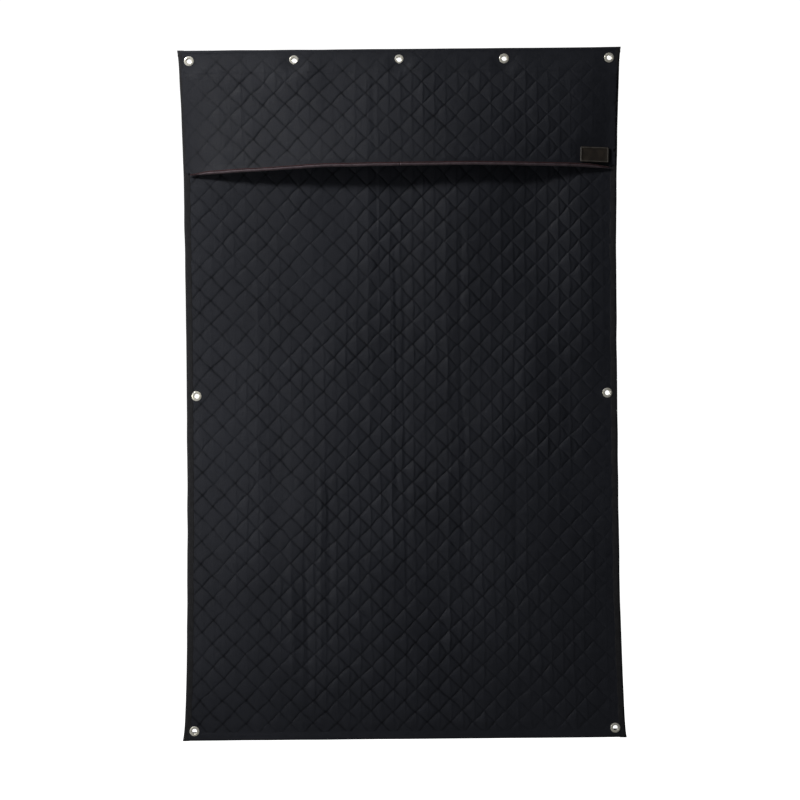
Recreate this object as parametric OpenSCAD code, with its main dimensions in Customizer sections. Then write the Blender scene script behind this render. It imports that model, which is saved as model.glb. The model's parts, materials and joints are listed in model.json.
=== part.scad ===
// Quilted stable curtain: a padded rectangle that hangs from five eyelets along its top edge, with
// two more half-way down its sides and two at its foot. A quilted flap covers the top sixth. It is
// sewn down along its top and both sides, and its bound lower lip bows forward. The foot half folds
// back and up behind the head half, about a line just below the middle eyelets.
// The curtain hangs in the XZ plane with its front towards -Y. The origin is the centre of the
// middle eyelet of the top row.

/* [Panel] */
// Half of the curtain's width at its corners
corner_half_w = 656; // [500:1:900]
// How far each side draws in towards the middle of its height
side_draw = 16; // [0:1:30]
// Height from one row of eyelets to the next
row_drop = 995; // [700:5:1200]
// Height of the panel above the top row of eyelets
top_margin = 32; // [26:1:45]
// Height of the panel below the bottom row of eyelets
foot_margin = 28; // [26:1:45]
// Thickness of the outer cloth and of the lining
skin_t = 1; // [0.6:0.1:1.4]
// Thickness of the wadding between them
wadding_t = 6; // [5:0.5:8]
// Height of the flat header that carries the top eyelets
header_h = 67; // [60:1:80]
// Distance of the fold line below the middle eyelets
fold_below_eyelets = 33; // [30:1:60]

/* [Bindings] */
// Width of the binding that wraps each side edge
binding_w = 20; // [16:1:26]
// Height of the hem that wraps the foot
hem_h = 25; // [18:1:30]
// Thickness of the binding tape
tape_t = 1; // [0.6:0.1:1.4]

/* [Flap] */
// Half of the flap's width
flap_half_w = 622; // [480:1:622]
// Height of the flap at its sewn ends
flap_drop = 297; // [200:1:400]
// How much higher the lip is in the middle than at its ends
lip_rise = 19; // [0:1:40]
// How far the middle of the lip stands off the panel
lip_standoff = 45; // [20:1:60]
// Height of the tape that binds the lip
lip_tape_h = 10; // [6:1:14]
// Thickness of the flap's wadding
flap_wadding_t = 5; // [3:0.5:7]

/* [Label] */
// Width of the leather label
label_w = 86; // [40:1:88]
// Height of the leather label
label_h = 46; // [20:1:60]
// Distance from the label's outer end to the flap's end
label_inset = 2; // [1:1:20]
// Height of the label's lower edge above the lip
label_above_lip = 18; // [14:1:60]

/* [Eyelets] */
// Half of the width between the outer eyelets of the top row
top_eyelet_x = 624; // [460:1:624]
// Half of the width between the middle eyelets
mid_eyelet_x = 610; // [460:1:610]
// Half of the width between the bottom eyelets
foot_eyelet_x = 625; // [460:1:625]
// Radius of the hole
bore_r = 7; // [5:0.5:8]
// Outer radius of the flange and of the washer
flange_r = 14.5; // [13:0.5:15]
// How far the flange stands up from the cloth
flange_t = 1.6; // [1:0.1:2]

/* [Hidden] */
$fn = 64;
top_z = top_margin;
header_z = top_z - header_h;
mid_row_z = -row_drop;
foot_row_z = -2 * row_drop;
foot_z = foot_row_z - foot_margin;
fold_z = mid_row_z - fold_below_eyelets;
centre_z = (top_z + foot_z) / 2;
core_y = wadding_t / 2;
skin_y = core_y + skin_t;
tape_y = skin_y + tape_t;
barrel_r = bore_r + 0.8;
cloth_hole_r = flange_r + 0.5;
patch_size = 64;
patch_foot = foot_margin - 4;
patch_out = 20;
cloth_inset = tape_t + 0.5;
fold_gap = 0.3;
edge_steps = 14;
flap_clear = 1.8;
tape_clear = 0.3;
bow_steps = 32;
flap_back_h = skin_t;
flap_core_h = skin_t + flap_wadding_t;
flap_front_h = flap_core_h + skin_t;
label_t = 1.6;
label_back_h = flap_front_h + tape_clear;
stitch = [4, 0.9, 0.7];
stitch_pitch = 6;
stitch_margin = 4;
top_row = [for (i = [-2 : 2]) [i * top_eyelet_x / 2, 0]];
sides = ["left", "right"];

// Half of the width at a height: the sides draw in and flare out again at the corners.
function half_w(z) =
    corner_half_w - side_draw * (1 - pow(abs(z - centre_z) / (top_z - centre_z), 3));
function side_sign(side) = side == 0 ? -1 : 1;

// One side edge between two heights, set in from the true edge by a distance.
function edge(z0, z1, inset, sign) =
    [for (i = [0 : edge_steps]) let (z = z0 + (z1 - z0) * i / edge_steps)
        [sign * (half_w(z) - inset), z]];
function backwards(list) = [for (i = [len(list) - 1 : -1 : 0]) list[i]];

// Where a point of the flap lies: x across, d down from its seam, h forward from its back.
function bow(x) = 1 - pow(x / flap_half_w, 2);
function flap_z(x, d) = header_z - fold_gap - d * (flap_drop - lip_rise * bow(x)) / flap_drop;
function flap_y(x, d, h) = -skin_y - flap_clear - lip_standoff * bow(x) * d / flap_drop - h;
function flap_point(x, d, h) = [x, flap_y(x, d, h), flap_z(x, d)];

// A flat shape drawn in X and Z, made solid from y0 to y1.
module slab(y0, y1) {
    translate([0, y1, 0]) rotate([90, 0, 0]) linear_extrude(y1 - y0) children();
}

// The panel's outline between two heights, from one drawn-in side to the other.
module panel_shape(z0, z1, inset) {
    polygon(concat(edge(z0, z1, inset, 1), backwards(edge(z0, z1, inset, -1))));
}

// A strip along one side, between two distances in from the edge.
module side_strip(z0, z1, inset0, inset1, sign) {
    polygon(concat(edge(z0, z1, inset0, sign), backwards(edge(z0, z1, inset1, sign))));
}

module holes(places, radius) {
    for (p = places) translate(p) circle(radius);
}

// The notches at both ends of a row of side eyelets, where the wadding gives way to a patch.
module notches(x, z) {
    for (m = [0, 1]) mirror([m, 0])
        translate([x - patch_size / 2, z - patch_size / 2]) square([corner_half_w, patch_size]);
}

// A closed profile of [d, h] points, swept across the bowed flap from x0 to x1. Each twisted square
// is split from its upper left to its lower right corner, so that layers lie on each other.
module bowed_sweep(profile, x0, x1, steps) {
    n = len(profile);
    points = [for (i = [0 : steps], p = profile) flap_point(x0 + (x1 - x0) * i / steps, p[0], p[1])];
    walls = [for (i = [0 : steps - 1], j = [0 : n - 1])
        let (k = (j + 1) % n, a = i * n + j, b = i * n + k, c = b + n, d = a + n)
        each (profile[j][0] <= profile[k][0] ? [[a, b, c], [a, c, d]] : [[a, b, d], [b, c, d]])];
    first = [for (j = [n - 1 : -1 : 0]) j];
    last = [for (j = [0 : n - 1]) steps * n + j];
    polyhedron(points, concat(walls, [first, last]), convexity = 6);
}

module bowed_slab(x0, x1, d0, d1, h0, h1, steps) {
    bowed_sweep([[d0, h0], [d0, h1], [d1, h1], [d1, h0]], x0, x1, steps);
}

// Header: the outer cloth folds over the top edge and encloses a webbing band.
module header_face() {
    color([0.15, 0.15, 0.17]) {
        for (y = [[-skin_y, -core_y], [core_y, skin_y]])
            slab(y[0], y[1]) difference() {
                panel_shape(header_z, top_z, cloth_inset);
                holes(top_row, cloth_hole_r);
            }
        slab(-skin_y, skin_y) panel_shape(top_z - skin_t, top_z, cloth_inset);
    }
}

module header_webbing() {
    color([0.1, 0.1, 0.11]) slab(-core_y, core_y) difference() {
        panel_shape(header_z, top_z - skin_t, cloth_inset);
        holes(top_row, barrel_r + 0.1);
    }
}

// The four parts of each half: outer cloth, wadding, lining and side bindings.
module skin(z0, z1, y0, places) {
    slab(y0, y0 + skin_t) difference() {
        panel_shape(z0, z1, cloth_inset);
        holes(places, cloth_hole_r);
    }
}

module wadding(z0, z1, x, z) {
    slab(-core_y, core_y) difference() {
        panel_shape(z0, z1, cloth_inset);
        notches(x, z);
    }
}

module binding(z0, z1, sign, places) {
    color([0.19, 0.19, 0.2]) {
        for (y = [[-tape_y, -skin_y], [skin_y, tape_y]])
            slab(y[0], y[1]) difference() {
                side_strip(z0, z1, 0, binding_w, sign);
                holes(places, cloth_hole_r);
            }
        slab(-tape_y, tape_y) side_strip(z0, z1, 0, tape_t, sign);
    }
}

// A stack of webbing that stiffens the cloth around one side eyelet.
module patch(x, z) {
    color([0.1, 0.1, 0.11]) slab(-core_y, core_y) difference() {
        translate([x - patch_size / 2 + 0.5, z - patch_foot])
            square([patch_size / 2 + patch_out, patch_foot + patch_size / 2 - 0.5]);
        translate([x, z]) circle(barrel_r + 0.1);
    }
}

module mirrored_patch(x, z, sign) {
    if (sign > 0) patch(x, z);
    else mirror([1, 0, 0]) patch(x, z);
}

module bottom_hem() {
    inner = tape_t + binding_w;
    color([0.16, 0.16, 0.17]) {
        for (y = [[-tape_y, -skin_y], [skin_y, tape_y]])
            slab(y[0], y[1]) difference() {
                panel_shape(foot_z, foot_z + hem_h, inner);
                holes([for (s = [-1, 1]) [s * foot_eyelet_x, foot_row_z]], cloth_hole_r);
            }
        slab(-tape_y, tape_y) panel_shape(foot_z - tape_t, foot_z, inner);
    }
}

// Flap: lining, wadding and outer cloth, bowed forward, with a bound lip.
module flap_layer(h0, h1) {
    bowed_slab(-flap_half_w, flap_half_w, 0, flap_drop - tape_t, h0, h1, bow_steps);
}

module flap_face() {
    color([0.15, 0.15, 0.17]) flap_layer(flap_core_h, flap_front_h);
}

module flap_wadding() {
    color([0.8, 0.8, 0.78]) flap_layer(flap_back_h, flap_core_h);
}

module flap_lining() {
    color([0.08, 0.08, 0.09]) flap_layer(0, flap_back_h);
}

module lip_binding() {
    up = flap_drop - lip_tape_h;
    foot = flap_drop - tape_t + tape_clear;
    back = -tape_clear;
    front = flap_front_h + tape_clear;
    profile = [[up, back - tape_t], [up, back], [foot, back], [foot, front], [up, front],
        [up, front + tape_t], [flap_drop + tape_clear, front + tape_t],
        [flap_drop + tape_clear, back - tape_t]];
    color([0.28, 0.22, 0.24]) bowed_sweep(profile, -flap_half_w, flap_half_w, bow_steps);
}

module label() {
    x1 = flap_half_w - label_inset;
    d1 = flap_drop - label_above_lip;
    color([0.14, 0.12, 0.11])
        bowed_slab(x1 - label_w, x1, d1 - label_h, d1, label_back_h, label_back_h + label_t, 6);
}

// One stitch, lying along the label's top and bottom or along its ends.
module label_stitch(x, d, along) {
    long = stitch[0] / 2;
    wide = stitch[1] / 2;
    dx = along ? long : wide;
    dd = along ? wide : long;
    h = label_back_h + label_t + tape_clear;
    bowed_slab(x - dx, x + dx, d - dd, d + dd, h, h + stitch[2], 1);
}

module label_stitching() {
    x_mid = flap_half_w - label_inset - label_w / 2;
    d_mid = flap_drop - label_above_lip - label_h / 2;
    reach_x = label_w / 2 - stitch_margin;
    reach_d = label_h / 2 - stitch_margin;
    across = floor((2 * reach_x - 6) / stitch_pitch / 2);
    down = floor((2 * reach_d - 6) / stitch_pitch / 2);
    color([0.3, 0.28, 0.26]) {
        for (i = [-across : across], s = [-1, 1])
            label_stitch(x_mid + i * stitch_pitch, d_mid + s * reach_d, true);
        for (i = [-down : down], s = [-1, 1])
            label_stitch(x_mid + s * reach_x, d_mid + i * stitch_pitch, false);
    }
}

// Eyelet: a barrel through the cloth, a rounded front flange and a rolled-over back end.
module eyelet(x, z) {
    throat = 2.2;
    front = core_y + flange_t;
    back = core_y + 1;
    rim = flange_r - bore_r - throat;
    round_in = [for (a = [0 : 15 : 90])
        [bore_r + throat - throat * cos(a), front - throat + throat * sin(a)]];
    round_out = [for (a = [15 : 15 : 90])
        [bore_r + throat + rim * sin(a), core_y + 0.2 + (flange_t - 0.2) * cos(a)]];
    seat = [[flange_r, core_y], [barrel_r, core_y], [barrel_r, -back], [barrel_r + 2.6, -back]];
    roll = [for (a = [0 : 30 : 90])
        [barrel_r + 1.8 + 0.8 * cos(a), -back - 0.2 - 0.8 * sin(a)]];
    color([0.83, 0.78, 0.62]) translate([x, 0, z]) rotate([90, 0, 0])
        rotate_extrude() polygon(concat(round_in, round_out, seat, roll,
            [[bore_r + 1, -back - 1], [bore_r, -back - 0.2]]));
}

module washer(x, z) {
    color([0.83, 0.78, 0.62]) translate([x, core_y, z]) rotate([-90, 0, 0]) difference() {
        cylinder(h = 1, r = flange_r);
        translate([0, 0, -1]) cylinder(h = 3, r = barrel_r + 0.1);
    }
}

module half_skins(name, z0, z1, x, z) {
    places = [for (s = [-1, 1]) [s * x, z]];
    color([0.15, 0.15, 0.17]) skin(z0, z1, -skin_y, places);
    color([0.8, 0.8, 0.78]) wadding(z0, z1, x, z);
    color([0.08, 0.08, 0.09]) skin(z0, z1, core_y, places);
}

upper_foot = fold_z + fold_gap;
lower_top = fold_z - fold_gap;

header_face();
header_webbing();
half_skins("upper", upper_foot, header_z, mid_eyelet_x, mid_row_z);
half_skins("lower", foot_z, lower_top, foot_eyelet_x, foot_row_z);
bottom_hem();
for (i = [0, 1]) {
    s = side_sign(i);
    side_places = [[s * top_eyelet_x, 0], [s * mid_eyelet_x, mid_row_z]];
    binding(upper_foot, top_z, s, side_places);
    binding(foot_z, lower_top, s, [[s * foot_eyelet_x, foot_row_z]]);
    mirrored_patch(mid_eyelet_x, mid_row_z, s);
    mirrored_patch(foot_eyelet_x, foot_row_z, s);
    eyelet(s * mid_eyelet_x, mid_row_z);
    eyelet(s * foot_eyelet_x, foot_row_z);
    washer(s * mid_eyelet_x, mid_row_z);
    washer(s * foot_eyelet_x, foot_row_z);
}
for (i = [1 : len(top_row)]) {
    eyelet(top_row[i - 1][0], 0);
    washer(top_row[i - 1][0], 0);
}
flap_face();
flap_wadding();
flap_lining();
lip_binding();
label();
label_stitching();
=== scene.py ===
"""Looks of the quilted stable curtain: cloth, bindings, label, eyelet metal, light and camera.

Lengths are in millimetres until a mesh is made. The frame's boxes and mounts set the places.
"""
import json
import math

import bmesh
import bpy
import numpy as np
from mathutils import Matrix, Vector


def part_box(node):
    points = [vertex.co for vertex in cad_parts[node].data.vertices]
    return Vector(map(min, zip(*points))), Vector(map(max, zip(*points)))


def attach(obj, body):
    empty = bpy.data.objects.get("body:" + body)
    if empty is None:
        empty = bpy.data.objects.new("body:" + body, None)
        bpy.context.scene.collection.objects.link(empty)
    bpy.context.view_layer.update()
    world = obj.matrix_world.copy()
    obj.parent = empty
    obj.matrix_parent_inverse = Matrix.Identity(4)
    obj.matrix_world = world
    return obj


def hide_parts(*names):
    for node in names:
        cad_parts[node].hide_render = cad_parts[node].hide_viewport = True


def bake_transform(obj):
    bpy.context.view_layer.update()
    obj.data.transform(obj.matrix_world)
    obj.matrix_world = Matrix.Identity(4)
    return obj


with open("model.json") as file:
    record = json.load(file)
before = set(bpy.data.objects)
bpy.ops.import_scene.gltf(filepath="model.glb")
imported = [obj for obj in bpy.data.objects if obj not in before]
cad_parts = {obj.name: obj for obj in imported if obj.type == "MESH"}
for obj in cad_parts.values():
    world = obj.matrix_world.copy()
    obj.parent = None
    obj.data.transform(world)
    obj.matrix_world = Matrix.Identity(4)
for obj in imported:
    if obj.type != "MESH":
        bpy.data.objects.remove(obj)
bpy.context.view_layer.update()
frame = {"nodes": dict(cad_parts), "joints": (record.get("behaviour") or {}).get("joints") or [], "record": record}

MM = 0.001


# ---------------------------------------------------------------- places, from the frame
def box_mm(node):
    """Lowest and highest corner of a CAD node."""
    low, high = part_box(node)
    return np.array(low) / MM, np.array(high) / MM


TOP_Z = box_mm("header_face")[1][2]
FOOT_Z = box_mm("bottom_hem")[0][2]
HEADER_Z = box_mm("header_face")[0][2]
CORNER_X = box_mm("right_binding_lower")[1][0]
MID_X = CORNER_X - 16.0
CENTRE_Z = (TOP_Z + FOOT_Z) / 2
FLAP_X = box_mm("flap_face")[1][0]
LIP_END_Z = box_mm("lip_binding")[0][2]
LIP_RISE = 19.0
LIP_STANDOFF = 45.0
LABEL_LOW, LABEL_HIGH = box_mm("label")
BORES = [m for m in frame["record"]["mounts"] if m["kind"] == "bore"]
EYELETS = [np.array(m["pos_m"])[[0, 2]] / MM for m in BORES]
FOLD_Z = next(j["pos_m"][2] for j in frame["joints"] if j["name"] == "panel_fold") / MM
HEADER_Y = 3.2          # how far forward the header's cloth lies
SEAT_Y = 2.85           # face of the cloth pressed under a flange or a washer
BINDING_W = 20.0
HEM_H = 25.0
TUCK = 4.0              # cloth ends this far inside the outline, under its binding
QUILT_FADE = 26.0       # the quilting flattens over this distance from the bindings
HANG_FADE = 190.0       # and the slow waves over this one
PITCH = 48.0
DIAGONAL = PITCH * math.sqrt(2)
HALF_DIAGONAL = DIAGONAL / 2
LOFT = 2.6
FLAP_LOFT = LOFT * 0.92
LINING_LOFT = 3.0
PUFF_REACH = 2.6        # how fast a diamond rises from its stitched line
LINE_SHADE_W = 3.0            # how wide the painted shade beside a stitched seam is


def half_width(z):
    """Half of the curtain's width at a height: the sides draw in and flare at the corners."""
    t = np.minimum(np.abs(z - CENTRE_Z) / (TOP_Z - CENTRE_Z), 1.0)
    ear = 3.5 * np.exp((t - 1.0) * (TOP_Z - CENTRE_Z) / 22.0)
    return MID_X + (CORNER_X - MID_X) * t ** 3 + ear


# ---------------------------------------------------------------- values over the cloth
def smoothstep(a, b, x):
    """0 below a and 1 above b, with a smooth rise between them."""
    t = np.clip((x - a) / (b - a), 0.0, 1.0)
    return t * t * (3 - 2 * t)


def noise(x, z, seed):
    """Smooth value noise from -1 to 1, one unit to a cell."""
    table = np.random.default_rng(seed).uniform(-1, 1, (256, 256))
    i, j = np.floor(x).astype(int), np.floor(z).astype(int)
    fx, fz = x - i, z - j
    fx, fz = fx * fx * (3 - 2 * fx), fz * fz * (3 - 2 * fz)

    def at(a, b):
        return table[(i + a) % 256, (j + b) % 256]

    low = at(0, 0) * (1 - fx) + at(1, 0) * fx
    high = at(0, 1) * (1 - fx) + at(1, 1) * fx
    return low * (1 - fz) + high * fz


def noise_at(x, z, seed):
    """The same noise at one point."""
    return float(noise(np.array(x), np.array(z), seed))


def per_cell(cu, cv, seed):
    """One random value from 0 to 1 for each diamond."""
    table = np.random.default_rng(seed).uniform(0, 1, (128, 128))
    return table[cu % 128, cv % 128]


def side_share(x):
    """0 at the left edge of the curtain and 1 at the right."""
    return np.clip(x / CORNER_X * 0.5 + 0.5, 0, 1)


def eyelet_reach(x, z):
    """Distance to the nearest eyelet's axis."""
    return np.min([np.hypot(x - e[0], z - e[1]) for e in EYELETS], axis=0)


# ---------------------------------------------------------------- quilting
# Distances from a stitched line at which the diamonds are sampled: close together beside the line.
HALF_CELL = [0.0, 1.3, 3.2, 6.2, 11.0, 17.0]
CELL = np.array(HALF_CELL + [PITCH / 2] + [PITCH - d for d in HALF_CELL[:0:-1]]) / PITCH
COARSE_CELL = np.array([0.0, 3.0, 11.0, 24.0, 37.0, 45.0]) / PITCH


def lattice(x0, x1, z0, z1, cell):
    """U and V of a diamond lattice that covers a rectangle. Whole values are stitched lines."""
    u_cells = np.arange(math.floor((x0 + z0) / DIAGONAL) - 1, math.ceil((x1 + z1) / DIAGONAL) + 1)
    v_cells = np.arange(math.floor((x0 - z1) / DIAGONAL) - 1, math.ceil((x1 - z0) / DIAGONAL) + 1)
    u = (u_cells[:, None] + cell[None, :]).ravel()
    v = (v_cells[:, None] + cell[None, :]).ravel()
    return np.meshgrid(u, v, indexing="ij")


def quilt_height(x, z, u, v, loft):
    """Height of the cloth over its stitched lines, and the painted shade beside each stitched seam.

    A diamond is part pillow and part upright fold: its left half rises to the fold and its
    right half falls away behind it. Folds are stronger towards the right and at the creases.
    """
    cu, cv = np.floor(u + 1e-6).astype(int), np.floor(v + 1e-6).astype(int)
    fu, fv = np.clip(u - cu, 0, 1), np.clip(v - cv, 0, 1)
    du, dv = np.minimum(fu, 1 - fu) * PITCH, np.minimum(fv, 1 - fv) * PITCH
    puff = (1 - np.exp(-du / PUFF_REACH)) * (1 - np.exp(-dv / PUFF_REACH))
    dome = np.sin(np.pi * fu) * np.sin(np.pi * fv)
    across = HALF_DIAGONAL * (fu + fv - 1)
    along = HALF_DIAGONAL * (fu - fv)
    reach = np.maximum(HALF_DIAGONAL - np.abs(along), 1e-3)
    run = np.clip(np.abs(across) / reach, 0, 1)
    fallen = (1 - run) * (1 - 0.6 * smoothstep(0, 5.0, across))
    fallen = fallen + 0.26 * np.exp(-((run - 0.66) / 0.17) ** 2)
    fold = np.where(across < 0, 1 - run ** 1.4, fallen) * (1 - (along / HALF_DIAGONAL) ** 2)
    share = side_share(x)
    crease = 0.38 + 0.4 * smoothstep(0.1, 0.7, share) + 0.7 * (per_cell(cu, cv, 3) - 0.5)
    crease = np.clip(crease + 0.9 * noise(x / 95.0, z / 190.0, 17) + 0.6 * near_creases(x, z), 0, 1)
    size = 0.75 + 0.5 * per_cell(cu, cv, 5)
    size = size * (0.6 + 0.4 * smoothstep(0.12, 0.45, share))
    size = size * (0.85 + 0.4 * noise(x / 140.0 + 9.3, z / 140.0, 16))
    soft = 0.5 * puff + 0.26 * dome
    height = loft * size * ((1 - 0.6 * crease) * soft + 0.95 * crease * fold)
    wrinkle = noise(x / 6.0, z / 30.0, 11) * 0.42 + noise(x / 13.0, z / 55.0, 12) * 0.62
    wrinkle = wrinkle + noise((x + z) / 9.0, (x - z) / 30.0, 13) * 0.2
    pucker = noise(u * 9.0, v * 9.0, 14) * 0.4 * np.exp(-np.minimum(du, dv) / 7.0)
    free = np.clip(puff * 1.15, 0, 1)
    height = height + (wrinkle * (0.45 + 0.55 * share) + pucker) * free * loft / 5.5
    # Painted shade along the stitched lines, weaker towards the right side.
    pull = 0.72 + 0.36 * noise(x / 13.0, z / 13.0, 18) + 0.34 * noise(x / 60.0, z / 60.0, 19)
    pull = (1 - 0.62 * smoothstep(0.58, 0.82, share)) * pull
    line_shade = np.exp(-(du / LINE_SHADE_W) ** 2) * 0.85 * pull + np.exp(-(dv / LINE_SHADE_W) ** 2) * pull
    return height, np.clip(line_shade, 0, 1.3)


# Upright creases: place across, lowest and highest z, half width, height (negative is a valley).
CREASES = [
    (-330, -1800, -1560, 9, 1.8),
    (-290, -1840, -1500, 7, -1.6),
    (-246, -1760, -1230, 8, 2.0),
    (-222, -1700, -1280, 6, -1.2),
    (-28, -1500, -640, 5, 1.5),
    (-20, -1300, -560, 4, -1.2),
    (10, -1560, -700, 6, -1.0),
    (140, -1900, -420, 8, 1.2),
    (180, -1500, -500, 6, -1.2),
    (-92, -1100, -40, 7, 1.1),
    (-74, -700, -60, 5, -1.0),
    (330, -1650, -900, 9, -1.4),
    (470, -1300, -500, 10, 1.4),
    (-420, -1500, -700, 16, 1.2),
]


def crease_ends(z, z_low, z_high):
    """1 along an upright crease and 0 past its two ends."""
    return smoothstep(z_low - 90, z_low + 40, z) * (1 - smoothstep(z_high - 40, z_high + 90, z))


def near_creases(x, z):
    """1 on an upright crease, falling to 0 a diamond away."""
    near = [np.exp(-((x - cx) / 42.0) ** 2) * crease_ends(z, z_low, z_high)
            for cx, z_low, z_high, _, _ in CREASES]
    return np.max(near, axis=0)


def drape(x, z):
    """Slow waves and long upright creases of the hanging cloth, forward positive."""
    total = noise(x / 210.0 + 3.1, z / 640.0 + 7.7, 21) * 5.0 + noise(x / 95.0, z / 420.0, 22) * 2.2
    for cx, z_low, z_high, width, size in CREASES:
        lean = cx + 6.0 * noise(z / 190.0, z * 0 + cx, 23)
        total = total + size * np.exp(-np.abs(x - lean) / width) * crease_ends(z, z_low, z_high)
    return total


def flatten_at_edges(x, z, reach):
    """1 on the open panel, falling to 0 towards the bound edges."""
    side = half_width(z) - np.abs(x)
    sides = smoothstep(BINDING_W - 4, BINDING_W + reach, side)
    foot = smoothstep(HEM_H - 6, HEM_H + reach, z - FOOT_Z)
    return sides * foot


HOLE_R = 9.0            # cloth is pushed out of this radius round an eyelet's axis
FLANGE_R = 16.0         # and isn't moved outside this one
CLOTH_HOLE_R = 11.3     # the mesh is cut inside this one, under the flange


def clear_holes(x, z):
    """Pushes cloth out of the eyelets' holes, so that its edge ends under their flanges."""
    for ex, ez in EYELETS:
        r = np.maximum(np.hypot(x - ex, z - ez), 1e-6)
        grow = np.where(r < FLANGE_R, (HOLE_R + r * (1 - HOLE_R / FLANGE_R)) / r, 1.0)
        x, z = ex + (x - ex) * grow, ez + (z - ez) * grow
    return x, z


def eyelet_calm(x, z):
    """0 under an eyelet's flange, rising to 1 away from it."""
    return smoothstep(15.0, 52.0, eyelet_reach(x, z))


def warp(x, z):
    """Small wander of the stitched lines, and the sides drawn in."""
    scale = half_width(z) / CORNER_X
    wander_x = noise(x / 150.0, z / 150.0, 31) * 3.4 + noise(x / 52.0, z / 52.0, 33) * 1.7
    wander_z = noise(x / 150.0, z / 150.0, 32) * 3.0 + noise(x / 52.0, z / 52.0, 34) * 1.5
    wander_x = wander_x + noise(x / 26.0, z / 26.0, 35) * 1.9
    wander_z = wander_z + noise(x / 26.0, z / 26.0, 36) * 1.9
    calm = eyelet_calm(x * scale, z)
    return clear_holes(x * scale + wander_x * calm, z + wander_z * calm)


# ---------------------------------------------------------------- flap
def bow(x):
    """1 at the flap's middle, falling to 0 at its ends."""
    return np.clip(1 - (x / FLAP_X) ** 2, 0, 1)


def lip_height(x):
    """Height of the lip's lowest edge: it bows up mid-width and sags towards the left."""
    share = side_share(x)
    return LIP_END_Z + LIP_RISE * bow(x) - 10.0 * (1 - share ** 2.2) + 6.0 * share ** 4


def flap_depth(x, z):
    """0 at the flap's seam and 1 at its lip."""
    return (HEADER_Z - z) / (HEADER_Z - lip_height(x))


def flap_front(x, z):
    """How far forward the flap's cloth lies, before quilting."""
    depth = np.clip(flap_depth(x, z), 0, 1.05)
    rise = smoothstep(-60.0, 25.0, HEADER_Z - z)
    return HEADER_Y + 5.6 * rise + LIP_STANDOFF * bow(x) * depth ** 1.15


def flap_gap(x, z):
    """Free space between the panel and the flap's back."""
    inside = flap_depth(x, z) < 1.0
    return np.where(inside, LIP_STANDOFF * bow(x) * np.clip(flap_depth(x, z), 0, 1), 40.0)


# ---------------------------------------------------------------- meshes
def put(name, data):
    """A new object with this data, linked into the scene."""
    obj = bpy.data.objects.new(name, data)
    bpy.context.scene.collection.objects.link(obj)
    return obj


def put_mesh(mesh, material):
    """A mesh object that is smooth-shaded and has one material."""
    mesh.polygons.foreach_set("use_smooth", [True] * len(mesh.polygons))
    mesh.materials.append(material)
    return put(mesh.name, mesh)


def grid_normals(points, steps=None):
    """Vertex normals of a grid of points, facing -Y.

    With steps, the points to a diamond along one side, each diamond's upright diagonal stays a
    sharp fold: its own vertices take the slope of the side to their left.
    """
    du = np.gradient(points, axis=0)
    dv = np.gradient(points, axis=1)
    if steps:
        i, j = np.indices(points.shape[:2]) % steps
        fold = (i + j == steps)[..., None]
        du = np.where(fold, points - np.roll(points, 1, axis=0), du)
        dv = np.where(fold, points - np.roll(points, 1, axis=1), dv)
    n = np.cross(du, dv)
    n /= np.maximum(np.linalg.norm(n, axis=2, keepdims=True), 1e-9)
    n[n[..., 1] > 0] *= -1
    return n


def cut_sheet(name, points, keep, material, line_shade, facing=-1, steps=None):
    """A sheet of the quads of a grid whose four corners are kept, with the whole grid's normals.

    facing is the sign of the side that the sheet shows along Y, and the painted shade of the stitched
    lines goes into the seam attribute.
    """
    n_u, n_v = keep.shape
    index = np.arange(n_u * n_v).reshape(n_u, n_v)
    quads = keep[:-1, :-1] & keep[1:, :-1] & keep[:-1, 1:] & keep[1:, 1:]
    middle = (points[:-1, :-1] + points[1:, 1:]) / 2
    quads &= eyelet_reach(middle[..., 0], middle[..., 2]) > HOLE_R
    a, b = index[:-1, :-1][quads], index[1:, :-1][quads]
    c, d = index[1:, 1:][quads], index[:-1, 1:][quads]
    faces = np.stack([a, b, c, d], 1)
    first = points.reshape(-1, 3)[faces[:2000]]
    turn = np.cross(first[:, 1] - first[:, 0], first[:, 2] - first[:, 0])[:, 1].mean()
    if turn * facing < 0:
        faces = faces[:, ::-1]
    used, inverse = np.unique(faces, return_inverse=True)
    faces = inverse.reshape(-1, 4)
    vertices = points.reshape(-1, 3)[used]
    mesh = bpy.data.meshes.new(name)
    mesh.vertices.add(len(vertices))
    mesh.vertices.foreach_set("co", (vertices * MM).ravel())
    mesh.loops.add(faces.size)
    mesh.loops.foreach_set("vertex_index", faces.ravel())
    mesh.polygons.add(len(faces))
    mesh.polygons.foreach_set("loop_start", np.arange(0, faces.size, 4))
    mesh.update(calc_edges=True)
    mesh.validate()
    obj = put_mesh(mesh, material)
    # The seam attribute carries the painted shade along the stitched lines to the material.
    seam = mesh.attributes.new("seam", "FLOAT", "POINT")
    seam.data.foreach_set("value", line_shade.ravel()[used].astype(np.float32))
    normals = grid_normals(points, steps).reshape(-1, 3)[used] * (-facing)
    mesh.normals_split_custom_set_from_vertices(normals)
    return obj


def sweep(name, rows, material, capped=True):
    """A mesh through rows of points, each row a closed profile, with its two ends filled."""
    rows = np.array(rows)
    n, k = rows.shape[:2]
    faces = []
    for i in range(n - 1):
        for j in range(k):
            m = (j + 1) % k
            faces.append((i * k + j, i * k + m, (i + 1) * k + m, (i + 1) * k + j))
    if capped:
        faces.append(tuple(range(k)))
        faces.append(tuple((n - 1) * k + j for j in range(k)))
    mesh = bpy.data.meshes.new(name)
    mesh.from_pydata([tuple(v) for v in rows.reshape(-1, 3) * MM], [], faces)
    mesh.validate()
    obj = put_mesh(mesh, material)
    fix = bmesh.new()
    fix.from_mesh(mesh)
    bmesh.ops.recalc_face_normals(fix, faces=fix.faces)
    fix.to_mesh(mesh)
    fix.free()
    return obj


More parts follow.
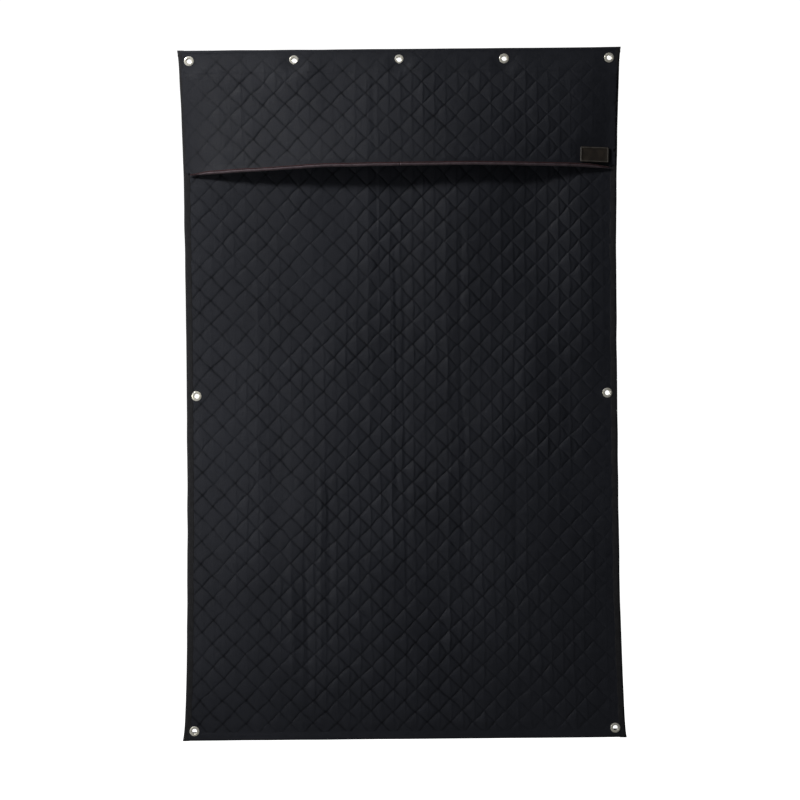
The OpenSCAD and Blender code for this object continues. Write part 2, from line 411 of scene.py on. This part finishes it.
# ---------------------------------------------------------------- materials
class Nodes:
    """A short way to build a node material."""

    def __init__(self, name):
        self.material = bpy.data.materials.new(name)
        self.material.use_nodes = True
        self.tree = self.material.node_tree
        self.shader = self.tree.nodes["Principled BSDF"]

    def add(self, kind, inputs=None, **settings):
        """A node with its settings, its inputs set or linked."""
        node = self.tree.nodes.new(kind)
        for key, value in settings.items():
            setattr(node, key, value)
        for key, value in (inputs or {}).items():
            if isinstance(value, bpy.types.NodeSocket):
                self.tree.links.new(value, node.inputs[key])
            else:
                node.inputs[key].default_value = value
        return node

    def feed(self, **inputs):
        """Sets or links the shader's sockets; _ in a name stands for a space."""
        for key, value in inputs.items():
            socket = self.shader.inputs[key.replace("_", " ")]
            if isinstance(value, bpy.types.NodeSocket):
                self.tree.links.new(value, socket)
            else:
                socket.default_value = value

    def place(self):
        """The object's own coordinates."""
        return self.add("ShaderNodeTexCoord").outputs["Object"]

    def noise(self, scale, detail=3.0, stretch=(1, 1, 1)):
        """Noise in the object's coordinates, from 0 to 1."""
        mapped = self.add("ShaderNodeMapping", {"Vector": self.place(), "Scale": stretch})
        inputs = {"Vector": mapped.outputs[0], "Scale": scale, "Detail": detail}
        return self.add("ShaderNodeTexNoise", inputs).outputs["Fac"]

    def math(self, operation, a, b):
        return self.add("ShaderNodeMath", {0: a, 1: b}, operation=operation).outputs[0]

    def ramp(self, value, low, high, out_low, out_high):
        """A value mapped from one range to another, and held at its ends."""
        inputs = {"Value": value, 1: low, 2: high, 3: out_low, 4: out_high}
        return self.add("ShaderNodeMapRange", inputs).outputs[0]

    def mix(self, factor, a, b):
        """One colour turning into another: the sockets 0, 6 and 7 are the colour mix's own."""
        node = self.add("ShaderNodeMix", data_type="RGBA")
        for socket, value in ((node.inputs[0], factor), (node.inputs[6], a), (node.inputs[7], b)):
            if isinstance(value, bpy.types.NodeSocket):
                self.tree.links.new(value, socket)
            else:
                socket.default_value = value
        return node.outputs[2]

    def blotches(self, value, low, high, dark, light):
        """Dark where the value is under low, light where it is over high."""
        return self.mix(self.ramp(value, low, high, 0.0, 1.0), (*dark, 1), (*light, 1))

    def bump(self, height, strength, distance, after=None):
        inputs = {"Height": height, "Strength": strength, "Distance": distance}
        if after is not None:
            inputs["Normal"] = after
        return self.add("ShaderNodeBump", inputs).outputs[0]


def weave(nodes, threads_per_m, strength, after=None):
    """Plain weave: two sets of threads that cross."""
    place = nodes.add("ShaderNodeSeparateXYZ", {0: nodes.place()})
    waves = []
    for axis in ("X", "Z"):
        turns = nodes.math("MULTIPLY", place.outputs[axis], threads_per_m * math.tau)
        waves.append(nodes.math("SINE", turns, 0.0))
    cross = nodes.math("MULTIPLY", waves[0], waves[1])
    return nodes.bump(cross, strength, 0.0003, after)


def cloth(name, dark, light, roughness, sheen):
    """Black woven cloth: thread weave and slight fading, with painted shade in its stitched lines."""
    n = Nodes(name)
    fade, fine = n.noise(3.0, 4.0), n.noise(60.0, 3.0)
    amount = n.math("ADD", n.math("MULTIPLY", fade, 0.6), n.math("MULTIPLY", fine, 0.4))
    # The seam attribute is painted shade along the stitched lines: it darkens the colour and dims the specular and
    # the sheen there.
    seam = n.add("ShaderNodeAttribute", attribute_name="seam").outputs["Fac"]
    depth = n.math("MULTIPLY", seam, 0.5)
    plain = n.blotches(amount, 0.35, 0.65, dark, light)
    n.feed(Base_Color=n.mix(depth, plain, (0.0004, 0.0005, 0.0008, 1)))
    n.feed(Specular_IOR_Level=n.ramp(depth, 0.0, 1.0, 0.3, 0.02))
    n.feed(Sheen_Weight=n.ramp(depth, 0.0, 1.0, sheen, 0.0), Sheen_Roughness=0.45)
    n.feed(Roughness=n.ramp(fine, 0.3, 0.7, roughness - 0.06, roughness + 0.06))
    crinkle = n.bump(n.noise(220.0, 4.0, (1, 1, 0.45)), 0.35, 0.0012)
    n.feed(Normal=weave(n, 900.0, 0.35, crinkle))
    return n.material


def tape(name, dark, light, roughness=0.7, specular=0.25):
    """Ribbed binding tape."""
    n = Nodes(name)
    spots = n.noise(90.0, 3.0)
    n.feed(Base_Color=n.blotches(spots, 0.35, 0.65, dark, light), Roughness=roughness)
    n.feed(Normal=weave(n, 600.0, 0.5, n.bump(spots, 0.3, 0.0008)))
    n.feed(Specular_IOR_Level=specular, Sheen_Weight=0.15)
    return n.material


def leather(name, dark, light):
    """Dark leather: fine grain and soft blotches."""
    n = Nodes(name)
    place = {"Vector": n.place(), "Scale": 900.0}
    grain = n.add("ShaderNodeTexVoronoi", place, feature="DISTANCE_TO_EDGE")
    n.feed(Base_Color=n.blotches(n.noise(45.0, 4.0), 0.35, 0.65, dark, light), Roughness=0.5)
    n.feed(Normal=n.bump(grain.outputs["Distance"], 0.5, 0.0005))
    return n.material


def metal(name, colour, warm):
    """Plated eyelet metal, bright and a little stained."""
    n = Nodes(name)
    n.feed(Base_Color=n.blotches(n.noise(70.0, 4.0), 0.4, 0.7, colour, warm), Metallic=0.4)
    n.feed(Roughness=n.ramp(n.noise(400.0, 3.0), 0.3, 0.7, 0.2, 0.34))
    n.feed(Normal=n.bump(n.noise(500.0, 3.0), 0.08, 0.0002))
    return n.material


SHELL = cloth("shell_cloth", (0.0100, 0.0118, 0.0182), (0.0162, 0.0184, 0.0266), 0.58, 0.08)
LINING = cloth("lining_cloth", (0.011, 0.011, 0.012), (0.017, 0.017, 0.018), 0.75, 0.05)
BINDING = tape("binding_tape", (0.0118, 0.0119, 0.0140), (0.0182, 0.0183, 0.0208))
LIP_TAPE = tape("lip_tape", (0.074, 0.050, 0.060), (0.125, 0.090, 0.104), 0.5, 0.4)
PIPING = tape("lip_piping", (0.040, 0.010, 0.014), (0.062, 0.018, 0.022), 0.6)
LEATHER = leather("label_leather", (0.022, 0.018, 0.014), (0.046, 0.036, 0.027))
FRAME_THREAD = tape("label_thread", (0.07, 0.064, 0.055), (0.14, 0.128, 0.11), 0.5, 0.4)
EYELET_METAL = metal("eyelet_metal", (0.95, 0.93, 0.84), (0.88, 0.84, 0.68))


# ---------------------------------------------------------------- panel
def own(obj, nodes, body="panel", bend=None):
    """Hides the CAD nodes that a piece stands for, and attaches the piece to its body.

    bend is the fold across the panel, or the end where the flap's piece is sewn down; then the piece is only
    baked.
    """
    if bend == "fold":
        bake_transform(obj)
    elif bend in ("left", "right"):
        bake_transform(obj)
    else:
        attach(obj, body)
    if nodes:
        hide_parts(*nodes)


def hang(x, z):
    """How far forward the panel hangs: nothing at its bound edges, eyelets and under the flap."""
    free = flatten_at_edges(x, z, HANG_FADE) * eyelet_calm(x, z)
    return drape(x, z) * free * np.clip(flap_gap(x, z) / 30.0, 0, 1)


def lattice_points(z0, z1, cell):
    """Lattice values and warped x and z of a band of the curtain."""
    u, v = lattice(-CORNER_X, CORNER_X, z0, z1, cell)
    x, z = warp((u + v) * HALF_DIAGONAL, (u - v) * HALF_DIAGONAL)
    return u, v, x, z


def within(x, z, z_top):
    """The points inside the outline and outside the eyelets, up to a height."""
    inside = (np.abs(x) < half_width(z) - TUCK) & (z > FOOT_Z + TUCK) & (z < z_top)
    return inside & (eyelet_reach(x, z) > CLOTH_HOLE_R)


def grown(mask):
    """The mask and the grid points beside it, so that two parts share their border."""
    out = mask.copy()
    out[1:, :] |= mask[:-1, :]
    out[:, 1:] |= mask[:, :-1]
    out[1:, 1:] |= mask[:-1, :-1]
    return out


def panel_front(x, z, u, v):
    """Forward distance of the panel's outer cloth, and the painted shade along its stitched lines."""
    height, line_shade = quilt_height(x, z, u, v, LOFT)
    edge = flatten_at_edges(x, z, QUILT_FADE)
    edge = edge * (0.3 + 0.7 * smoothstep(35.0, 110.0, half_width(z) - x))
    # Less painted shade along the stitched lines close to the right edge.
    line_shade = line_shade * (0.4 + 0.6 * smoothstep(35.0, 80.0, half_width(z) - x))
    calm = eyelet_calm(x, z)
    limit = 0.6 + 0.5 * flap_gap(x, z)
    height = np.minimum(height * (0.12 + 0.88 * edge) * calm, np.maximum(limit, 0.3))
    near = smoothstep(10.0, 34.0, eyelet_reach(x, z))
    return 2.9 - 0.2 * near + height + hang(x, z), line_shade


def make_panel_cloth():
    """The outer cloth of the panel's two halves. It stands for the wadding under it too."""
    u, v, x, z = lattice_points(FOOT_Z, HEADER_Z, CELL)
    forward, line_shade = panel_front(x, z, u, v)
    points = np.stack([x, -forward, z], -1)
    inside = within(x, z, HEADER_Z + 8)
    for half, part in (("upper", z > FOLD_Z), ("lower", z <= FOLD_Z)):
        keep = inside & grown(part)
        obj = cut_sheet("panel_cloth_" + half, points, keep, SHELL, line_shade, steps=len(CELL))
        own(obj, [half + "_face", half + "_wadding"], bend="fold")


def make_lining():
    """The quilted back of the panel's two halves. It hides the webbing patches."""
    u, v, x, z = lattice_points(FOOT_Z, TOP_Z, COARSE_CELL)
    # The lining's stitched lines get the same painted shade.
    height, line_shade = quilt_height(x + 900, z, u, v, LINING_LOFT)
    edge = flatten_at_edges(x, z, QUILT_FADE) * eyelet_calm(x, z)
    fold = 0.25 + 0.75 * smoothstep(0, 70, np.abs(z - FOLD_Z))
    top = smoothstep(-10.0, 30.0, HEADER_Z - z)
    back = 2.95 + np.clip(height, 0, 3.6) * edge * top * fold - hang(x, z)
    points = np.stack([x, back, z], -1)
    inside = within(x, z, TOP_Z - 6)
    for half, part, patches, tall in (
        ("upper", z > FOLD_Z, "patch_mid_", 1.058),
        ("lower", z <= FOLD_Z, "patch_foot_", 0.990),
    ):
        keep = inside & grown(part)
        obj = cut_sheet("panel_lining_" + half, points, keep, LINING, line_shade, facing=1)
        nodes = [half + "_lining", patches + "left", patches + "right"]
        own(obj, nodes, bend="fold")


# ---------------------------------------------------------------- header and flap
def make_header_and_flap():
    """The header's cloth, and the flap's cloth and lining in a left and a right half."""
    u, v, x, z = lattice_points(LIP_END_Z - 30, TOP_Z, CELL)
    height, line_shade = quilt_height(x, z, u, v, FLAP_LOFT)
    from_side, from_right = half_width(z) - np.abs(x), half_width(z) - x
    calm = eyelet_calm(x, z)
    side = smoothstep(BINDING_W - 2, BINDING_W + 60, from_side)
    sewn = smoothstep(BINDING_W - 4, BINDING_W + 110, from_side)
    top = smoothstep(0, 100, TOP_Z - z + 14 * noise(x / 70.0, x * 0, 43))
    lip = smoothstep(0.02, 0.10, 1 - flap_depth(x, z))
    open_x = np.maximum(LABEL_LOW[0] - x, 0)
    open_z = np.maximum(np.maximum(LABEL_LOW[2] - z, z - LABEL_HIGH[2]), 0)
    label = smoothstep(2.0, 30.0, np.hypot(open_x, open_z))
    label_fade = 0.04 + 0.96 * label
    right = smoothstep(0.55, 0.85, side_share(x))
    from_left = half_width(z) + x + 40 * noise(x / 60.0, z / 60.0, 44)
    quiet = smoothstep(0.0, 230.0, from_left) * (1 - 0.65 * right)
    rim = 0.25 + 0.75 * smoothstep(40.0, 190.0, from_right)
    height = height * (0.35 + 0.65 * quiet + 0.55 * right) * rim
    fade = calm * (0.1 + 0.9 * side) * (0.08 + 0.92 * top) * (0.08 + 0.92 * lip) * label_fade
    # Painted shade along the stitched lines, weaker near the left and right sides, the top edge and the label.
    line_shade_fade = (0.3 + 0.7 * quiet) * (0.2 + 0.8 * smoothstep(0.0, 0.6, top)) * label_fade
    line_shade = line_shade * rim * line_shade_fade
    base = HEADER_Y + (flap_front(x, z) - HEADER_Y) * calm * (0.5 + 0.5 * sewn)
    wave = noise(x / 170.0, z / 260.0, 41) * 2.6 + 0.6 * drape(x, z)
    forward = base + height * fade + wave * side * top * label * lip
    points = np.stack([x, -forward, z], -1)
    inside = within(x, z, TOP_Z - TUCK)
    tucked = points.copy()
    tucked[..., 1] += 1.2 * smoothstep(2.0, 6.0, HEADER_Z - z)
    header = inside & (z > HEADER_Z - 12)
    obj = cut_sheet("header_cloth", tucked, header, SHELL, line_shade, steps=len(CELL))
    own(obj, ["header_face"])
    flap = inside & (z < HEADER_Z) & (flap_depth(x, z) < 0.99)
    lining = np.stack([x, -np.maximum(forward - 7.5 - 3.0 * side * bow(x), 3.6), z], -1)
    ends = (("left", flap & grown(x < 0)), ("right", flap & grown(x >= 0)))
    for end, keep in ends:
        obj = cut_sheet("flap_cloth_" + end, points, keep, SHELL, line_shade, steps=len(CELL))
        own(obj, ["flap_face" if end == "left" else "flap_wadding"], bend=end)
    coarse_points, coarse_line_shade = lining[::2, ::2], line_shade[::2, ::2]
    for end, keep in ends:
        obj = cut_sheet("flap_lining_" + end, coarse_points, keep[::2, ::2], LINING, coarse_line_shade,
                        facing=1)
        own(obj, ["flap_lining"] if end == "left" else [], bend=end)


def lip_place(x):
    """Front of the flap's cloth at the lip: forward distance and z."""
    waver = noise(x / 120.0, x * 0 + 2.5, 51) * 1.6 + noise(x / 38.0, x * 0 + 4.5, 52) * 0.6
    z = lip_height(x) + waver
    return flap_front(x, z), z


# Profile of the lip's tape: forward of the cloth's front, and up from the lip's lowest edge.
LIP_PROFILE = [(-8.2, 9.5), (-8.6, 4.5), (-7.4, 1.2), (-4.2, 0.0), (-1.0, 0.4), (0.9, 2.2),
               (1.5, 4.2), (1.2, 6.6), (0.4, 7.6), (-0.6, 7.4), (-4.0, 6.8), (-7.4, 9.6)]
PIPING_R = 1.4
PIPING_TURN = np.arange(8) * math.tau / 8


def make_lip():
    """Tape round the lip, and the thin piping above it, each in a left and a right half."""
    for end, x0, x1, nodes in (
        ("left", -FLAP_X, 0.0, ["lip_binding"]),
        ("right", 0.0, FLAP_X, []),
    ):
        stations = np.linspace(x0, x1, 180)
        slims = 0.35 + 0.65 * smoothstep(0, 60, FLAP_X - np.abs(stations))
        tape_rows, piping_rows = [], []
        for x, forward, z, slim in zip(stations, *lip_place(stations), slims):
            wrinkle = 0.35 * math.sin(x / 5.3) * noise_at(x / 40.0, 0.5, 53)
            tape_rows.append([(x, -(forward + a * slim + wrinkle), z + b * slim)
                              for a, b in LIP_PROFILE])
            piping_rows.append([(x, -(forward + 0.9 + PIPING_R * math.sin(a)),
                                 z + 8.9 * slim + PIPING_R * math.cos(a)) for a in PIPING_TURN])
        obj = sweep("lip_tape_" + end, tape_rows, LIP_TAPE)
        own(obj, nodes, bend=end)
        own(sweep("lip_piping_" + end, piping_rows, PIPING), [], bend=end)


# ---------------------------------------------------------------- bindings, hem and top edge
# Profile of a side binding: in from the edge, and back from the panel's middle.
BINDING_PROFILE = [(20.5, -2.4), (20.0, -2.8), (16.5, -3.2), (10.0, -3.8), (4.0, -4.0), (1.2, -3.2),
                   (0.0, 0.0), (1.2, 3.4), (4.0, 4.5), (10.0, 4.8), (17.0, 4.4), (20.0, 4.1),
                   (20.5, 3.2), (12.0, 2.6), (3.0, 2.0), (3.0, -2.0), (12.0, -2.6)]


def under_eyelets(x, y, z):
    """The y of cloth, pressed flat where an eyelet's flange or washer lies on it."""
    if abs(y) <= SEAT_Y:
        return y
    near = 1 - smoothstep(15.2, 26.0, eyelet_reach(np.array(x), np.array(z)))
    return y + (math.copysign(SEAT_Y, y) - y) * float(near)


def make_side_bindings():
    """The tape folded round each side, in one strip from top to foot."""
    stations = np.arange(TOP_Z, FOOT_Z - 0.1, -(TOP_Z - FOOT_Z) / 400)
    for side, sign in (("left", -1), ("right", 1)):
        rows = []
        for z in stations:
            edge = float(half_width(z)) + 1.1 * noise_at(z / 70.0, sign * 3.5, 61)
            pull = 0.35 * noise_at(z / 11.0, sign * 1.5, 62)
            row = []
            for inset, y in BINDING_PROFILE:
                x = sign * (edge - inset - (pull if inset > 15 else 0))
                row.append((x, under_eyelets(x, y * (1 + 0.25 * pull), z), z))
            rows.append(row)
        obj = sweep(side + "_binding", rows, BINDING)
        nodes = [side + "_binding_upper", side + "_binding_lower"]
        own(obj, nodes, bend="fold")


def strip_along_x(name, profile, inset, edge_z, ripple):
    """A bound edge that runs across the curtain, inset from its corners."""
    reach = float(half_width(edge_z)) - inset
    rows = []
    for x in np.linspace(-reach, reach, 260):
        shift = ripple * noise_at(x / 80.0, 7.5, 63)
        row = []
        for up, y in profile:
            z = edge_z + up + shift
            row.append((x, under_eyelets(x, y, z), z))
        rows.append(row)
    return sweep(name, rows, SHELL)


# Profiles of the hem and of the roll over the top edge: up from the edge, and back.
HEM_PROFILE = [(25.5, -2.4), (25.0, -2.7), (21.0, -2.9), (12.0, -3.3), (4.0, -3.6), (1.0, -2.8),
               (0.0, 0.0), (1.0, 3.2), (4.0, 4.4), (12.0, 4.6), (21.0, 4.3), (25.0, 4.0),
               (25.5, 3.2), (12.0, 2.6), (3.0, 2.0), (3.0, -2.0), (12.0, -2.6)]
TOP_PROFILE = [(-17.0, -2.3), (-16.5, -2.8), (-4.0, -3.8), (-1.2, -3.0), (0.0, 0.0), (-1.2, 3.0),
               (-4.0, 3.8), (-12.0, 3.8), (-12.6, 3.0), (-4.0, 2.4), (-4.0, -2.4)]


def make_edges():
    """The hem, and the cloth rolled over the top edge."""
    hem = strip_along_x("bottom_hem_cloth", HEM_PROFILE, BINDING_W - 3, FOOT_Z, 0.5)
    own(hem, ["bottom_hem"], body="lower_panel")
    top = strip_along_x("header_back_cloth", TOP_PROFILE, 2.0, TOP_Z, 0.8)
    own(top, ["header_webbing"])


# ---------------------------------------------------------------- label
LABEL_W, LABEL_H, LABEL_R = 86.0, 46.0, 5.0
LABEL_TILT = math.radians(1.5)
# The label from its back edge over its rim to its middle: inset, and lift off the flap.
LABEL_SECTION = [(0.0, -0.5), (0.0, 1.2), (0.8, 1.9), (3.0, 2.1), (5.0, 1.9), (5.8, 1.6),
                 (12.0, 1.5), (20.0, 1.7)]
RIM_SECTION = [(1.6, 1.7), (1.9, 2.4), (2.9, 2.8), (3.9, 2.4), (4.2, 1.7), (2.9, 1.4)]


def rounded_ring(inset):
    """The label's outline, drawn in by inset: x and z about its centre."""
    r = max(LABEL_R - inset, 0.6)
    w, h = LABEL_W / 2 - inset - r, LABEL_H / 2 - inset - r
    out = []
    for cx, cz, start in ((w, h, 0), (-w, h, 90), (-w, -h, 180), (w, -h, 270)):
        for turn in range(0, 91, 15):
            a = math.radians(start + turn)
            out.append((cx + r * math.cos(a), cz + r * math.sin(a)))
    return out


def on_flap(points, lift):
    """Puts flat points of the label on the front of the flap, tilted."""
    cx, cz = (LABEL_LOW[0] + LABEL_HIGH[0]) / 2, (LABEL_LOW[2] + LABEL_HIGH[2]) / 2
    out = []
    for px, pz in points:
        x = cx + px * math.cos(LABEL_TILT) + pz * math.sin(LABEL_TILT)
        z = cz - px * math.sin(LABEL_TILT) + pz * math.cos(LABEL_TILT)
        base = float(flap_front(np.array(x), np.array(z)))
        out.append((x, -(base + lift), z))
    return out


def make_label():
    """The plain leather label and the raised thread round its rim."""
    rings = [on_flap(rounded_ring(inset), lift) for inset, lift in LABEL_SECTION]
    obj = sweep("leather_label", rings, LEATHER)
    own(obj, ["label"], bend="right")
    rings = [on_flap(rounded_ring(inset), lift) for inset, lift in RIM_SECTION + RIM_SECTION[:1]]
    rim = sweep("label_rim_thread", rings, FRAME_THREAD, capped=False)
    own(rim, ["label_stitching"], bend="right")


# ---------------------------------------------------------------- CAD nodes that stay
def finish_nodes():
    """Gives the CAD nodes their materials. Only the eyelets and washers are seen."""
    for name, obj in frame["nodes"].items():
        material = EYELET_METAL if name.startswith(("eyelet", "washer")) else BINDING
        obj.data.materials.clear()
        obj.data.materials.append(material)


# ---------------------------------------------------------------- stage, light and camera
BACKDROP_GLOW = 1.1
WORLD_LIGHT = 0.042


def make_stage():
    """A plain floor, white to the camera and nearly unlit to the object."""
    bpy.ops.mesh.primitive_plane_add(size=14, location=(0, 0, (FOOT_Z - 190) * MM))
    floor = bpy.context.object
    floor.name = "floor"
    n = Nodes("floor_paint")
    seen = n.add("ShaderNodeLightPath").outputs["Is Camera Ray"]
    n.feed(Base_Color=(0.3, 0.3, 0.3, 1), Roughness=0.9, Emission_Color=(1, 1, 1, 1),
           Emission_Strength=n.math("MULTIPLY", seen, BACKDROP_GLOW))
    floor.data.materials.append(n.material)


def area_light(name, place, target, size, power, spread):
    """A light in metres, watts and degrees of spread, pointed at its target."""
    data = bpy.data.lights.new(name, "AREA")
    data.shape = "RECTANGLE"
    data.size, data.size_y = size
    data.energy = power
    data.spread = math.radians(spread)
    data.color = (1.0, 0.99, 0.98)
    obj = put(name, data)
    obj.location = place
    obj.rotation_euler = (Vector(target) - Vector(place)).to_track_quat("-Z", "Y").to_euler()


def make_light():
    """A white world that lights little, a key light from the left, and two weaker lights."""
    world = bpy.data.worlds.new("studio")
    bpy.context.scene.world = world
    world.use_nodes = True
    tree = world.node_tree
    tree.nodes.clear()
    out = tree.nodes.new("ShaderNodeOutputWorld")
    seen, lit = tree.nodes.new("ShaderNodeBackground"), tree.nodes.new("ShaderNodeBackground")
    seen.inputs[0].default_value = (1, 1, 1, 1)
    seen.inputs[1].default_value = BACKDROP_GLOW
    lit.inputs[0].default_value = (0.95, 0.97, 1.0, 1)
    lit.inputs[1].default_value = WORLD_LIGHT
    mix, path = tree.nodes.new("ShaderNodeMixShader"), tree.nodes.new("ShaderNodeLightPath")
    tree.links.new(path.outputs["Is Camera Ray"], mix.inputs[0])
    tree.links.new(lit.outputs[0], mix.inputs[1])
    tree.links.new(seen.outputs[0], mix.inputs[2])
    tree.links.new(mix.outputs[0], out.inputs[0])
    area_light("key", (-1.9, -1.25, 1.15), (-0.4, 0, -0.5), (0.4, 0.4), 58, 180)
    area_light("back", (1.6, 3.2, 0.6), (0, 0, -1.0), (1.2, 1.2), 45, 120)
    area_light("side", (-1.5, -1.0, -1.2), (0.25, 0, -1.35), (0.5, 0.9), 3.5, 100)


def make_camera():
    """A camera straight in front, rolled half a degree; its frame is frame_w metres wide."""
    data = bpy.data.cameras.new("camera")
    data.sensor_width = 36.0
    distance, frame_w = 5.2, 2.377
    data.lens = data.sensor_width * distance / frame_w
    obj = put("camera", data)
    obj.location = (-0.006, -distance, CENTRE_Z * MM - 0.018)
    obj.rotation_euler = (math.radians(90), math.radians(0.5), 0)
    bpy.context.scene.camera = obj
    bpy.context.scene.view_settings.view_transform = "Standard"


make_camera()
make_light()
make_stage()
finish_nodes()
make_panel_cloth()
make_lining()
make_header_and_flap()
make_lip()
make_side_bindings()
make_edges()
make_label()
